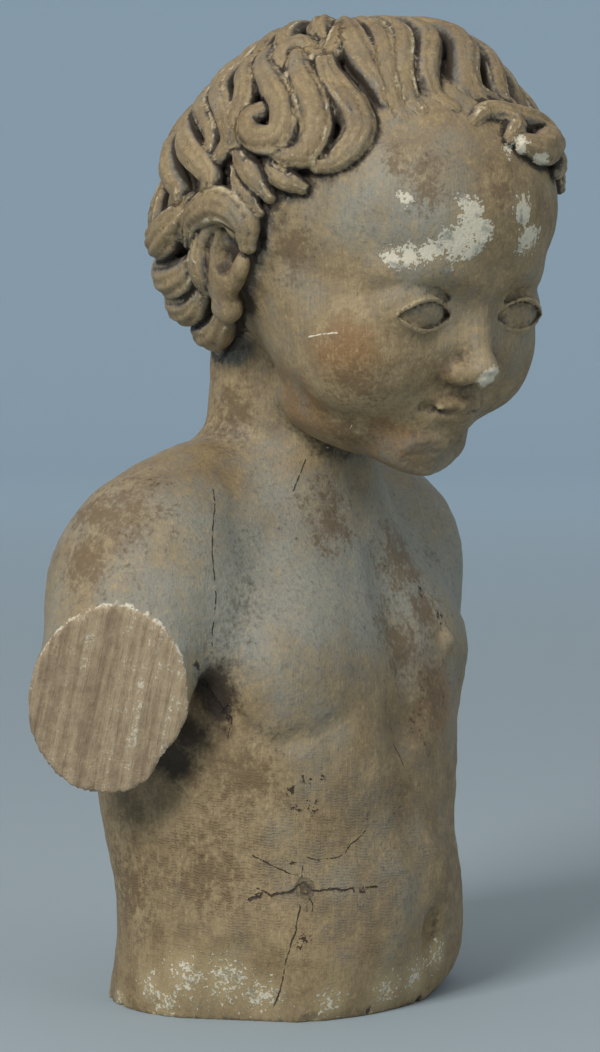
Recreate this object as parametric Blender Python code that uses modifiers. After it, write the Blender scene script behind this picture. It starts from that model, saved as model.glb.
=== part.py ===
"""A carved child's bust with curly hair: head, neck and trunk in one block of wood.

The trunk is cut off flat below the navel, with the front of the cut worn away. The right arm is
sawn off below the shoulder and the left arm is broken off at the shoulder. +Z is up, the chest
faces -Y, the figure's right arm is at -X, and the origin is in the middle of the flat underside.

The figure's forms are written in parts of its height, and one part is PART metres. The head's
forms are in the head's own frame: x to the figure's left, y to the back of the head, z to the
crown, from the middle of the skull.
"""

import math

import bmesh
import bpy
import numpy as np
from mathutils import Euler, Matrix, Vector

# Driving dimensions, in metres
HEIGHT = 0.41
PARTS_IN_HEIGHT = 410
PART = HEIGHT / PARTS_IN_HEIGHT

# Carving settings: the cells, in parts, and the rounds of smoothing that fuse the body, then the
# body with its carved detail, how strong a round is, and the share of the faces that is kept
BODY_CELL = 3.2
BODY_SMOOTHING = 24
DETAIL_CELL = 2.2
DETAIL_SMOOTHING = 2
SMOOTHING_STRENGTH = 0.5
SHARE_OF_FACES_KEPT = 0.058

# How fine the shapes are before they are fused
BALL_SIDES = 48
BALL_RINGS = 28
TRUNK_SIDES = 64
TRUNK_STEP = 4
POINTS_PER_SPAN = 4

# Pose of the head, in degrees, and the middle of the skull, in parts
HEAD_TURN = -15.0
HEAD_BOW = 17.0
HEAD_LEAN = 0.0
HEAD_CENTRE = (-8.0, -42.0, 332.0)

# Level sections of the trunk and neck: height, middle in y, half width, half depth
TRUNK_SECTIONS = (
    (-10, 6, 77, 62),
    (0, 3, 79, 66),
    (12, 0, 81, 66),
    (28, -2, 81, 66),
    (45, -1, 80, 66),
    (65, 3, 80, 67),
    (90, 5, 81, 70),
    (115, 5, 83, 69),
    (150, 7, 81, 64),
    (172, 7, 76, 56),
    (192, 6, 64, 48),
    (212, 4, 51, 41),
    (232, 0, 35, 36),
    (252, -4, 35, 36),
    (276, -6, 35, 36),
    (300, -10, 34, 35),
)
TRUNK_SQUARENESS = 2.3

# Rounded masses of the body: middle, radii and turn in degrees. The first ones, for the breasts,
# the tops of the shoulders and the shoulder blades, have a twin in -x.
PAIRED_BODY_MASSES = (
    ((35, -24, 145), (44, 30, 36), (0, 0, -14)),
    ((45, 16, 202), (56, 31, 33), (0, 12, 0)),
    ((38, 38, 150), (38, 26, 44), (0, 0, 15)),
)
# Belly, right and left shoulder, right and left upper arm
SINGLE_BODY_MASSES = (
    ((0, -23, 52), (50, 46, 38), (0, 0, 0)),
    ((-80, 18, 171), (38, 42, 47), (0, 0, 0)),
    ((80, 10, 177), (42, 44, 47), (0, 0, 0)),
    ((-115, 11, 133), (69, 33, 29), (0, -60, 9)),
    ((99, 9, 148), (56, 36, 38), (0, 55, -8)),
)

# The planes that end the arms and wear the front of the foot: a point and the way out
RIGHT_CUT = ((-115, 9, 131), (-0.90, -0.36, -0.23))
LEFT_CUT = ((104, 8, 140), (0.96, -0.26, -0.05))
WORN_EDGE_CUT = ((30, -53, 0), (0.30, -0.30, -0.90))

# Masses of the head, in its own frame: middle, radii and turn; a twin is made where x isn't 0
HEAD_MASSES = (
    ((0, 8, -1), (71, 82, 63), (-37, 0, 0)),
    ((0, -36, 12), (58, 49, 48), (0, 0, 0)),
    ((0, -31, -32), (58, 50, 54), (0, 0, 0)),
    ((30, -50, -46), (26, 24, 27), (0, 0, 0)),
    ((0, -61, -81), (20, 17, 14), (0, 0, 0)),
    ((0, -30, -76), (41, 37, 19), (0, 0, 0)),
)
FACE_MASSES = (
    ((0, -79, -29), (6.5, 8, 17), (0, 0, 0)),
    ((0, -86, -43), (8, 8.5, 7.5), (0, 0, 0)),
    ((7.5, -81, -45), (6, 7, 5.5), (0, 0, 0)),
    ((27, -65, -24), (13, 11, 8.5), (0, 0, 0)),
    ((0, -74, -60), (13, 7.5, 4.2), (0, 0, 0)),
    ((0, -73, -66), (10.5, 7.5, 4.8), (0, 0, 0)),
)
HAIR_CAP = ((0, 9, 1), (75, 80, 66), (-52, 0, 0))
SCALP_MASSES = (*HEAD_MASSES[:3], HAIR_CAP)

# Hair. The crown leans back from the head's own up by this many degrees. A lock is a thickness in
# parts and a path of points, each a turn round the crown from the brow and a fall from the crown,
# in degrees.
CROWN_TILT = 26.0
BROW_LOCKS = (
    (6.0, ((-42, 14), (-42, 28), (-40, 40), (-37, 51), (-33, 61), (-31, 68))),
    (5.4, ((-34, 14), (-30, 28), (-28, 40), (-30, 56), (-30, 65), (-28, 72))),
    (5.6, ((-18, 14), (-18, 28), (-18, 40), (-24, 54), (-24, 64), (-22, 70))),
    (5.6, ((0, 14), (-2, 28), (-4, 40), (-14, 54), (-15, 63), (-11, 70))),
    (6.6, ((22, 14), (20, 28), (16, 40), (2, 56), (2, 65), (12, 70))),
    (5.8, ((38, 16), (36, 32), (30, 44), (18, 58), (16, 67), (26, 72))),
    (5.2, ((52, 20), (52, 34), (48, 46), (38, 58), (36, 66), (44, 72))),
    (4.6, ((-6, 75), (0, 72), (6, 73), (8, 77), (3, 81))),
    (7.0, ((8, 70), (15, 73), (24, 75), (25, 80), (15, 84), (7, 83))),
    (5.0, ((28, 68), (32, 74), (33, 80), (30, 85), (24, 89))),
    (4.8, ((38, 70), (42, 77), (42, 85), (38, 91))),
)
# The locks at the side, which have a twin on the other side with this much more fall
TWIN_FALL = 3
SIDE_LOCKS = (
    (6.4, ((-88, 34), (-79, 47), (-71, 56), (-65, 65), (-66, 73), (-72, 74), (-77, 71), (-78, 66), (-74, 64))),
    (6.8, ((-66, 40), (-61, 54), (-57, 62), (-55, 68), (-55, 74), (-58, 79), (-63, 80), (-67, 78))),
    (6.6, ((-52, 40), (-51, 53), (-47, 62), (-43, 69), (-42, 75), (-45, 80), (-50, 83), (-55, 83))),
    (5.2, ((-100, 32), (-90, 46), (-83, 54), (-82, 61), (-83, 68), (-81, 73))),
    (5.6, ((-114, 34), (-102, 50), (-91, 60), (-86, 67), (-85, 72), (-89, 76))),
    (5.2, ((-126, 38), (-112, 53), (-98, 63), (-93, 69), (-94, 75))),
    (6.2, ((-128, 50), (-115, 62), (-104, 71), (-96, 77), (-92, 82), (-95, 88))),
    (6.0, ((-140, 56), (-128, 64), (-120, 71), (-113, 78), (-108, 83), (-111, 88))),
    (5.0, ((-63, 38), (-55, 46), (-49, 46), (-45, 38), (-42, 26))),
    (5.0, ((-68, 50), (-72, 43), (-66, 38), (-58, 41))),
    (4.8, ((-84, 72), (-81, 77), (-77, 83), (-73, 90))),
    (4.6, ((-72, 79), (-70, 83), (-66, 86), (-62, 89))),
    (4.4, ((-84, 80), (-81, 87), (-78, 94))),
    (6.6, ((-110, 97), (-104, 92), (-96, 90), (-89, 90), (-84, 93), (-82, 98), (-84, 103))),
    (8.0, ((-104, 87), (-112, 91), (-122, 94), (-134, 94))),
    (6.0, ((-134, 76), (-140, 84), (-146, 91), (-148, 98))),
    (7.6, ((-110, 104), (-120, 106), (-132, 104), (-141, 98))),
    (7.4, ((-116, 113), (-126, 115), (-137, 112), (-146, 106))),
    (6.8, ((-112, 121), (-124, 125), (-138, 123), (-150, 117))),
    (5.6, ((-150, 66), (-154, 78), (-153, 90), (-158, 100))),
    (5.0, ((-104, 97), (-107, 103), (-109, 108), (-111, 113))),
)
# A lock's radius in shares of its thickness, at its root and how much it swells, and how far its
# middle line stands off the scalp in radii, at its root and at its tip
LOCK_ROOT = 0.50
LOCK_SWELL = 0.48
LOCK_STAND = (0.30, 0.85)
# Rows of like locks round the back: how many, from and to which turn, the fall, the thickness,
# and the steps of the path from there, whose turns swap sides from lock to lock
BACK_ROWS = (
    (7, 134, 226, 16, 5.2, ((0, 0), (7, 12), (-2, 24), (5, 34))),
    (8, 137, 223, 40, 5.6, ((0, 0), (6, 12), (0, 24), (-8, 30), (-11, 24))),
    (9, 143, 217, 64, 5.6, ((0, 0), (5, 11), (0, 21), (-7, 25), (-10, 19))),
    (9, 147, 213, 88, 5.4, ((0, 0), (5, 10), (0, 19), (-6, 22), (-8, 16))),
    (8, 150, 210, 108, 5.2, ((0, 0), (5, 9), (0, 17), (-6, 19))),
)


def clear_scene():
    """Starts from an empty scene."""
    for thing in list(bpy.data.objects):
        bpy.data.objects.remove(thing)


def head_frame():
    """The matrix from the head's own frame to the figure's, in parts."""
    turn = Euler([math.radians(a) for a in (HEAD_BOW, HEAD_LEAN, HEAD_TURN)], "XYZ")
    return Matrix.Translation(HEAD_CENTRE) @ turn.to_matrix().to_4x4()


def turned(turn):
    """The rotation that a mass's turn in degrees stands for."""
    return Euler([math.radians(angle) for angle in turn], "XYZ").to_matrix()


def add_mass(bm, frame, middle, radii, turn):
    """Adds an ellipsoid, placed in a frame, as a stretched UV sphere."""
    place = frame @ Matrix.Translation(middle) @ turned(turn).to_4x4() @ Matrix.Diagonal((*radii, 1))
    ball = bmesh.new()
    bmesh.ops.create_uvsphere(ball, u_segments=BALL_SIDES, v_segments=BALL_RINGS, radius=1, matrix=place)
    add_shape(bm, ball)


def add_masses(bm, frame, masses, paired):
    """Adds masses, and the twin in -x of each that stands to one side where they are paired."""
    for middle, radii, turn in masses:
        add_mass(bm, frame, middle, radii, turn)
        if paired and middle[0]:
            twin = (-middle[0], middle[1], middle[2])
            add_mass(bm, frame, twin, radii, (turn[0], -turn[1], -turn[2]))


def add_shape(bm, shape):
    """Moves the faces of a small bmesh into a larger one."""
    mesh = bpy.data.meshes.new("shape")
    shape.to_mesh(mesh)
    shape.free()
    bm.from_mesh(mesh)
    bpy.data.meshes.remove(mesh)


def smooth_table(table, heights):
    """Reads a table of sections at the given heights along a Catmull-Rom curve."""
    rows = np.array(table, float)
    knots = rows[:, 0]
    slopes = np.gradient(rows[:, 1:], knots, axis=0)
    at = np.clip(np.searchsorted(knots, heights) - 1, 0, len(knots) - 2)
    span = (knots[at + 1] - knots[at])[:, None]
    t = (np.asarray(heights, float) - knots[at])[:, None] / span
    low, high = rows[at, 1:], rows[at + 1, 1:]
    return (
        (2 * t**3 - 3 * t**2 + 1) * low
        + (t**3 - 2 * t**2 + t) * span * slopes[at]
        + (3 * t**2 - 2 * t**3) * high
        + (t**3 - t**2) * span * slopes[at + 1]
    )


def add_trunk(bm):
    """Lofts the trunk and neck through their level sections, each a slightly squared oval."""
    heights = np.arange(TRUNK_SECTIONS[0][0], TRUNK_SECTIONS[-1][0] + 1, TRUNK_STEP)
    angles = np.linspace(0, 2 * math.pi, TRUNK_SIDES, endpoint=False)
    power = 2 / TRUNK_SQUARENESS
    across = np.sign(np.cos(angles)) * np.abs(np.cos(angles)) ** power
    along = np.sign(np.sin(angles)) * np.abs(np.sin(angles)) ** power
    rings = []
    for z, (middle, half_width, half_depth) in zip(heights, smooth_table(TRUNK_SECTIONS, heights)):
        places = zip(half_width * across, middle + half_depth * along)
        rings.append([bm.verts.new((x, y, z)) for x, y in places])
    for low, high in zip(rings, rings[1:]):
        for side in range(TRUNK_SIDES):
            after = (side + 1) % TRUNK_SIDES
            bm.faces.new((low[side], low[after], high[after], high[side]))
    bm.faces.new(reversed(rings[0]))
    bm.faces.new(rings[-1])


def scalp_point(way):
    """The point, in the head's frame, where a way out from the skull's middle leaves the skull."""
    reach = 0.0
    for middle, radii, turn in SCALP_MASSES:
        unspin = turned(turn).inverted()
        start = unspin @ -Vector(middle)
        ray = unspin @ way
        start = Vector([a / r for a, r in zip(start, radii)])
        ray = Vector([a / r for a, r in zip(ray, radii)])
        a, b, c = ray.dot(ray), ray.dot(start), start.dot(start) - 1
        inside = b * b - a * c
        if inside > 0:
            reach = max(reach, (math.sqrt(inside) - b) / a)
    return way * reach


def scalp_way(turn, fall):
    """The way out from the skull's middle at a turn round the crown and a fall from it."""
    tilt, turn, fall = math.radians(CROWN_TILT), math.radians(turn), math.radians(fall)
    crown = Vector((0, math.sin(tilt), math.cos(tilt)))
    brow = Vector((0, -math.cos(tilt), math.sin(tilt)))
    side = brow * math.cos(turn) + Vector((1, 0, 0)) * math.sin(turn)
    return crown * math.cos(fall) + side * math.sin(fall)


def lock_course(thickness, path):
    """The middle line of a lock over the scalp, as points with a radius each.

    The line is a Catmull-Rom curve through the path. It starts low on the scalp and rises to its
    tip, and the lock is thickest halfway, as a half wave of a sine.
    """
    knots = np.arange(len(path))
    rows = np.column_stack([knots, np.array(path, float)])
    steps = np.linspace(0, len(path) - 1, (len(path) - 1) * POINTS_PER_SPAN + 1)
    points = []
    for step, (turn, fall) in zip(steps, smooth_table(rows, steps)):
        t = step / steps[-1]
        way = scalp_way(turn, fall)
        radius = thickness * (LOCK_ROOT + LOCK_SWELL * math.sin(math.pi * t))
        stand = LOCK_STAND[0] * (1 - t) + LOCK_STAND[1] * t
        points.append((scalp_point(way) + way * radius * stand, radius))
    return points


def hair_locks():
    """Every lock of the hair: over the brow, at both sides, then the rows round the back."""
    locks = [*BROW_LOCKS, *SIDE_LOCKS]
    for thickness, path in SIDE_LOCKS:
        locks.append((thickness, [(-turn, fall + TWIN_FALL) for turn, fall in path]))
    for count, first, last, fall, thickness, steps in BACK_ROWS:
        for number in range(count):
            turn = first + (last - first) * number / (count - 1)
            way = 1 if number % 2 else -1
            path = [(turn + side * way, fall + drop + 2 * way) for side, drop in steps]
            locks.append((thickness, path))
    return [lock_course(*lock) for lock in locks]


def hair_mesh():
    """The locks as tubes of one curve object, with closed ends, made a mesh."""
    curve = bpy.data.curves.new("locks", "CURVE")
    curve.dimensions = "3D"
    curve.bevel_depth = 1
    curve.bevel_resolution = 2
    curve.use_fill_caps = True
    for lock in hair_locks():
        spline = curve.splines.new("POLY")
        spline.points.add(len(lock) - 1)
        for point, (place, radius) in zip(spline.points, lock):
            point.co = (*place, 1)
            point.radius = radius
    tubes = bpy.data.objects.new("locks", curve)
    bpy.context.scene.collection.objects.link(tubes)
    tubes.matrix_world = head_frame()
    depsgraph = bpy.context.evaluated_depsgraph_get()
    mesh = bpy.data.meshes.new_from_object(tubes.evaluated_get(depsgraph))
    mesh.transform(tubes.matrix_world)
    bpy.data.objects.remove(tubes)
    return mesh


def fused(name, bm, cell, smoothing):
    """The shapes of a bmesh fused to one skin by a voxel remesh and smoothed, as a mesh."""
    mesh = bpy.data.meshes.new(name)
    bm.to_mesh(mesh)
    bm.free()
    shape = bpy.data.objects.new(name, mesh)
    bpy.context.scene.collection.objects.link(shape)
    add_fuse(shape, cell, smoothing)
    depsgraph = bpy.context.evaluated_depsgraph_get()
    result = bpy.data.meshes.new_from_object(shape.evaluated_get(depsgraph))
    bpy.data.objects.remove(shape)
    return result


def add_fuse(shape, cell, smoothing):
    """Gives an object the modifiers that fuse its shapes to one smooth skin."""
    fuse = shape.modifiers.new("fuse", "REMESH")
    fuse.mode = "VOXEL"
    fuse.voxel_size = cell
    soften = shape.modifiers.new("soften", "SMOOTH")
    soften.factor = SMOOTHING_STRENGTH
    soften.iterations = round(smoothing)


def body_mesh():
    """Trunk, shoulders, arms and the plain head, fused with soft hollows between them."""
    figure = Matrix.Identity(4)
    bm = bmesh.new()
    add_trunk(bm)
    add_masses(bm, figure, PAIRED_BODY_MASSES, True)
    add_masses(bm, figure, SINGLE_BODY_MASSES, False)
    add_masses(bm, head_frame(), HEAD_MASSES, True)
    return fused("body", bm, BODY_CELL, BODY_SMOOTHING)


def cutter(name, point, way_out, collection):
    """A block that stands on the plane through point and takes away what lies past it."""
    side = PARTS_IN_HEIGHT / 2
    mesh = bpy.data.meshes.new(name)
    bm = bmesh.new()
    bmesh.ops.create_cube(bm, size=side * PART)
    bm.to_mesh(mesh)
    bm.free()
    block = bpy.data.objects.new(name, mesh)
    direction = Vector(way_out).normalized()
    block.rotation_euler = direction.to_track_quat("Z", "Y").to_euler()
    block.location = (Vector(point) + direction * side / 2) * PART
    block.hide_render = True
    block.display_type = "WIRE"
    collection.objects.link(block)
    return block


def wood_material():
    """Old brown carved wood."""
    wood = bpy.data.materials.new("carved_wood")
    wood.use_nodes = True
    shader = wood.node_tree.nodes["Principled BSDF"]
    shader.inputs["Base Color"].default_value = (0.23, 0.16, 0.10, 1)
    shader.inputs["Roughness"].default_value = 0.6
    shader.inputs["Metallic"].default_value = 0.0
    return wood


def carve_bust(parts, cutters):
    """Fuses body, face and hair to one solid, and cuts its underside and arms flat."""
    bm = bmesh.new()
    bm.from_mesh(body_mesh())
    add_masses(bm, head_frame(), (*FACE_MASSES, HAIR_CAP), True)
    bm.from_mesh(hair_mesh())
    bmesh.ops.scale(bm, vec=(PART, PART, PART), verts=bm.verts)
    mesh = bpy.data.meshes.new("putto_bust")
    bm.to_mesh(mesh)
    bm.free()
    bust = bpy.data.objects.new("putto_bust", mesh)
    bust.data.materials.append(wood_material())
    parts.objects.link(bust)

    add_fuse(bust, DETAIL_CELL * PART, DETAIL_SMOOTHING)
    thin = bust.modifiers.new("thin", "DECIMATE")
    thin.ratio = SHARE_OF_FACES_KEPT
    planes = (
        ("underside_cutter", (0, 0, 0), (0, 0, -1)),
        ("worn_edge_cutter", *WORN_EDGE_CUT),
        ("right_arm_cutter", *RIGHT_CUT),
        ("left_arm_cutter", *LEFT_CUT),
    )
    for name, point, way_out in planes:
        cut = bust.modifiers.new(name, "BOOLEAN")
        cut.operation = "DIFFERENCE"
        cut.object = cutter(name, point, way_out, cutters)
    return bust


def main():
    clear_scene()
    parts = bpy.data.collections.new("putto bust")
    cutters = bpy.data.collections.new("cutters")
    for collection in (parts, cutters):
        bpy.context.scene.collection.children.link(collection)
    carve_bust(parts, cutters)


main()
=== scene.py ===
"""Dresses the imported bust: the finished carving, its old wood and gesso, and a plain studio.

The carving is one skin. Its shape is written as a distance to the surface, negative inside the
wood, made of rounded masses that run into each other and of cuts that take wood away. The skin
is where that distance is nought. Forms are in parts of the bust's height, as in the solid: one
part is PART metres. +Z is up, the chest faces -Y and the figure's right arm is at -X. The head's
forms are in its own frame: x to the figure's left, y to the back, z to the crown.
"""

import math
from concurrent.futures import ThreadPoolExecutor

import bpy
import numpy as np
from bpy.props import FloatProperty, FloatVectorProperty, IntProperty, PointerProperty
from bpy.types import Operator, Panel, PropertyGroup
from mathutils import Matrix, Vector


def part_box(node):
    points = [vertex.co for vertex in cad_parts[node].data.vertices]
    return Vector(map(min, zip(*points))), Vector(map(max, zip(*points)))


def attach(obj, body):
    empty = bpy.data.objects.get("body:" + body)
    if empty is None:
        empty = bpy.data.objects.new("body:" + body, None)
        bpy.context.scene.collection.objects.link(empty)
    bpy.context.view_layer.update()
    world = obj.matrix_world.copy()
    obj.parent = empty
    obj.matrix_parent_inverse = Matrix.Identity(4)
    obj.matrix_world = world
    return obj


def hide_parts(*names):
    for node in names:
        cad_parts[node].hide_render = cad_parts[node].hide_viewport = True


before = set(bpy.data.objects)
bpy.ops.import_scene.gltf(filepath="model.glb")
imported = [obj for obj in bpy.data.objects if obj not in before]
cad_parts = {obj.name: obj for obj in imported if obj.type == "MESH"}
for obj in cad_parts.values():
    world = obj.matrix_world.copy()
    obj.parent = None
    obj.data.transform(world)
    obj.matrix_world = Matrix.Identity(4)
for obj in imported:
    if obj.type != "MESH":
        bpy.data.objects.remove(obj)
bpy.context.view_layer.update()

bl_info = {
    "name": "Carved Bust",
    "version": (1, 0, 0),
    "blender": (4, 5, 0),
    "location": "3D View > Sidebar > Bust",
    "description": "Carves and finishes an old wooden child's bust",
    "category": "Add Mesh",
}

# The camera that took the picture: its turn round the bust and its dip in degrees, how far it
# stands from the upright axis, how high and how far to the side, in metres, and how many of the
# picture's pixels its focal length spans
PICTURE_SIZE = (600, 1052)
CAMERA_TURN = -57.0
CAMERA_DIP = 3.5
CAMERA_REACH = 1.5
CAMERA_HEIGHT = 0.29
CAMERA_SIDE = 0.0051
FOCAL_PIXELS = 3536.0
SENSOR = 36.0

NODE = "putto_bust"
SLOT = "carved_wood"
HEIGHT = 0.41
PART = HEIGHT / 410

# Pose of the head in degrees, and the middle of the skull in parts
HEAD_TURN = -15.0
HEAD_BOW = 17.0
HEAD_CENTRE = (-8.0, -42.0, 332.0)

# Level sections of the trunk and neck: height, middle in y, half width, half depth
TRUNK_SECTIONS = (
    (-10, 6, 77, 62),
    (0, 3, 79, 66),
    (12, 0, 81, 66),
    (28, -2, 81, 66),
    (45, -1, 80, 66),
    (65, 3, 80, 67),
    (90, 5, 81, 70),
    (115, 5, 83, 69),
    (150, 7, 81, 64),
    (172, 7, 76, 56),
    (192, 6, 64, 48),
    (212, 4, 51, 41),
    (232, 0, 35, 36),
    (252, -4, 35, 36),
    (276, -6, 35, 36),
    (300, -10, 34, 35),
)
TRUNK_SQUARENESS = 2.3

# Rounded masses of the body: middle, radii and turn in degrees. The first ones, for the breasts,
# the tops of the shoulders and the shoulder blades, have a twin in -x.
PAIRED_BODY_MASSES = (
    ((35, -24, 145), (44, 30, 36), (0, 0, -14)),
    ((45, 16, 202), (56, 31, 33), (0, 12, 0)),
    ((38, 38, 150), (38, 26, 44), (0, 0, 15)),
)
# Belly, right and left shoulder, right and left upper arm
SINGLE_BODY_MASSES = (
    ((0, -23, 52), (50, 46, 38), (0, 0, 0)),
    ((-80, 18, 171), (38, 42, 47), (0, 0, 0)),
    ((80, 10, 177), (42, 44, 47), (0, 0, 0)),
    ((-115, 11, 133), (69, 33, 29), (0, -60, 9)),
    ((99, 9, 148), (56, 36, 38), (0, 55, -8)),
)

# The planes that end the arms and wear the front of the foot: a point and the way out
RIGHT_CUT = ((-115, 9, 131), (-0.90, -0.36, -0.23))
LEFT_CUT = ((104, 8, 140), (0.96, -0.26, -0.05))
WORN_EDGE_CUT = ((30, -53, 0), (0.30, -0.30, -0.90))
# How far the lines of the saw lean from the steepest way down the right arm's face, in degrees
SAW_LEAN = -14.0

# Masses of the head
SKULL_MASSES = (
    ((0, 8, -1), (71, 82, 63), (-37, 0, 0)),
    ((0, -36, 12), (58, 49, 48), (0, 0, 0)),
    ((0, -31, -32), (58, 50, 54), (0, 0, 0)),
)
CHEEK = ((30, -50, -46), (26, 24, 27), (0, 0, 0))
CHIN = ((0, -61, -81), (20, 17, 14), (0, 0, 0))
UNDER_CHIN = ((0, -30, -76), (41, 37, 19), (0, 0, 0))
HAIR_CAP = ((0, 9, 1), (75, 80, 66), (-52, 0, 0))

# Hair. The crown leans back from the head's own up by this many degrees. A lock is a thickness
# and a path of points, each a turn round the crown from the brow and a fall from it, in degrees.
CROWN_TILT = 26.0
BROW_LOCKS = (
    (6.0, ((-42, 14), (-42, 28), (-40, 40), (-37, 51), (-33, 61), (-31, 68))),
    (5.4, ((-34, 14), (-30, 28), (-28, 40), (-30, 56), (-30, 65), (-28, 72))),
    (5.6, ((-18, 14), (-18, 28), (-18, 40), (-24, 54), (-24, 64), (-22, 70))),
    (5.6, ((0, 14), (-2, 28), (-4, 40), (-14, 54), (-15, 63), (-11, 70))),
    (6.6, ((22, 14), (20, 28), (16, 40), (2, 56), (2, 65), (12, 70))),
    (5.8, ((38, 16), (36, 32), (30, 44), (18, 58), (16, 67), (26, 72))),
    (5.2, ((52, 20), (52, 34), (48, 46), (38, 58), (36, 66), (44, 72))),
)
TUFT_LOCKS = (
    (4.6, ((-6, 75), (0, 72), (6, 73), (8, 77), (3, 81))),
    (7.0, ((8, 70), (15, 73), (24, 75), (25, 80), (15, 84), (7, 83))),
    (5.0, ((28, 68), (32, 74), (33, 80), (30, 85), (24, 89))),
    (4.8, ((38, 70), (42, 77), (42, 85), (38, 91))),
)
CROWN_LOCKS = (
    (5.4, ((-52, 10), (-60, 18), (-58, 28), (-52, 38))),
    (5.6, ((-80, 9), (-86, 17), (-82, 28), (-74, 37))),
    (5.4, ((-106, 9), (-110, 17), (-104, 27), (-97, 36))),
    (5.4, ((-132, 11), (-132, 20), (-122, 31), (-116, 40))),
    (5.2, ((60, 11), (66, 20), (64, 30), (58, 40))),
    (5.2, ((92, 10), (98, 19), (94, 30), (86, 39))),
    (5.2, ((124, 11), (126, 21), (118, 32), (110, 41))),
)
TWIN_FALL = 3
SIDE_LOCKS = (
    (6.4, ((-88, 34), (-79, 47), (-71, 56), (-65, 65), (-66, 73), (-72, 74), (-77, 71), (-78, 66),
     (-74, 64))),
    (6.8, ((-66, 40), (-61, 54), (-57, 62), (-55, 68), (-55, 74), (-58, 79), (-63, 80), (-67, 78))),
    (6.6, ((-52, 40), (-51, 53), (-47, 62), (-43, 69), (-42, 75), (-45, 80), (-50, 83), (-55, 83))),
    (5.2, ((-100, 32), (-90, 46), (-83, 54), (-82, 61), (-83, 68), (-81, 73))),
    (5.6, ((-114, 34), (-102, 50), (-91, 60), (-86, 67), (-85, 72), (-89, 76))),
    (5.2, ((-126, 38), (-112, 53), (-98, 63), (-93, 69), (-94, 75))),
    (6.2, ((-128, 50), (-115, 62), (-104, 71), (-96, 77), (-92, 82), (-95, 88))),
    (6.0, ((-140, 56), (-128, 64), (-120, 71), (-113, 78), (-108, 83), (-111, 88))),
    (5.0, ((-63, 38), (-55, 46), (-49, 46), (-45, 38), (-42, 26))),
    (5.0, ((-68, 50), (-72, 43), (-66, 38), (-58, 41))),
    (4.8, ((-84, 72), (-81, 77), (-77, 83), (-73, 90))),
    (4.6, ((-72, 79), (-70, 83), (-66, 86), (-62, 89))),
    (4.4, ((-84, 80), (-81, 87), (-78, 94))),
    (6.6, ((-110, 97), (-104, 92), (-96, 90), (-89, 90), (-84, 93), (-82, 98), (-84, 103))),
    (8.0, ((-104, 87), (-112, 91), (-122, 94), (-134, 94))),
    (6.0, ((-134, 76), (-140, 84), (-146, 91), (-148, 98))),
    (7.6, ((-110, 104), (-120, 106), (-132, 104), (-141, 98))),
    (7.4, ((-116, 113), (-126, 115), (-137, 112), (-146, 106))),
    (6.8, ((-112, 121), (-124, 125), (-138, 123), (-150, 117))),
    (5.6, ((-150, 66), (-154, 78), (-153, 90), (-158, 100))),
    (5.0, ((-104, 97), (-107, 103), (-109, 108), (-111, 113))),
)
BACK_ROWS = (
    (7, 134, 226, 16, 5.2, ((0, 0), (7, 12), (-2, 24), (5, 34))),
    (8, 137, 223, 40, 5.6, ((0, 0), (6, 12), (0, 24), (-8, 30), (-11, 24))),
    (9, 143, 217, 64, 5.6, ((0, 0), (5, 11), (0, 21), (-7, 25), (-10, 19))),
    (9, 147, 213, 88, 5.4, ((0, 0), (5, 10), (0, 19), (-6, 22), (-8, 16))),
    (8, 150, 210, 108, 5.2, ((0, 0), (5, 9), (0, 17), (-6, 19))),
)

# Furrows of the trunk: a path, a radius and how wide its edges are rounded. Down the back, under
# the right breast, up the midline, between the breasts, and at the root of the neck.
BODY_FURROWS = (
    (((0, 80, 60), (0, 82, 120), (0, 74, 170), (0, 56, 205)), 9, 14),
    (((-95, -27, 143), (-85, -24, 133), (-80, -28, 121), (-73, -39, 114), (-61, -52, 116),
     (-44, -61, 124)), 3, 6),
    (((-14, -74, 118), (-11, -79, 95), (-8, -84, 60), (-4, -84, 38)), 9, 14),
    (((-4, -70, 122), (-3, -68, 152), (2, -56, 182)), 8, 14),
)
# Hollows of the trunk: the right armpit, the left armpit and the navel
BODY_HOLLOWS = (
    ((-94, -15, 114), (8, 18, 28), (0, 14, 0)),
    ((94, -14, 117), (5, 14, 22), (0, -10, 0)),
    ((4, -71, 29), (4.5, 8, 9), (0, 0, 0)),
)


# Shapes as distances. A point array has one row a point; a distance is negative in the wood.


def rotation(turn):
    """The matrix of a turn in degrees about x, then y, then z."""
    a, b, c = (math.radians(angle) for angle in turn)
    about_x = np.array([[1, 0, 0], [0, math.cos(a), -math.sin(a)], [0, math.sin(a), math.cos(a)]])
    about_y = np.array([[math.cos(b), 0, math.sin(b)], [0, 1, 0], [-math.sin(b), 0, math.cos(b)]])
    about_z = np.array([[math.cos(c), -math.sin(c), 0], [math.sin(c), math.cos(c), 0], [0, 0, 1]])
    return (about_z @ about_y @ about_x).astype(np.float32)


HEAD_AXES = rotation((HEAD_BOW, 0, HEAD_TURN))


def length(vectors):
    """The length of each row."""
    return np.sqrt(np.einsum("ij,ij->i", vectors, vectors))


def ellipsoid(points, middle, radii, turn=(0, 0, 0)):
    """Distance to an ellipsoid: with q the point over the radii and w the point over their
    squares, it is |q| (|q| - 1) / |w|."""
    local = (points - np.float32(middle)) @ rotation(turn)
    scaled = local / np.float32(radii)
    reach = length(scaled)
    return reach * (reach - 1) / np.maximum(length(scaled / np.float32(radii)), 1e-6)


def round_bar(points, start, end, start_radius, end_radius):
    """Distance to a bar with round ends: the distance to the line from start to end, less a
    radius that goes evenly from one end's to the other's."""
    start, axis = np.float32(start), np.float32(end) - np.float32(start)
    offset = points - start
    along = np.clip(offset @ axis / (axis @ axis), 0, 1)
    radius = start_radius + (end_radius - start_radius) * along
    return length(offset - along[:, None] * axis) - radius


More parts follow.
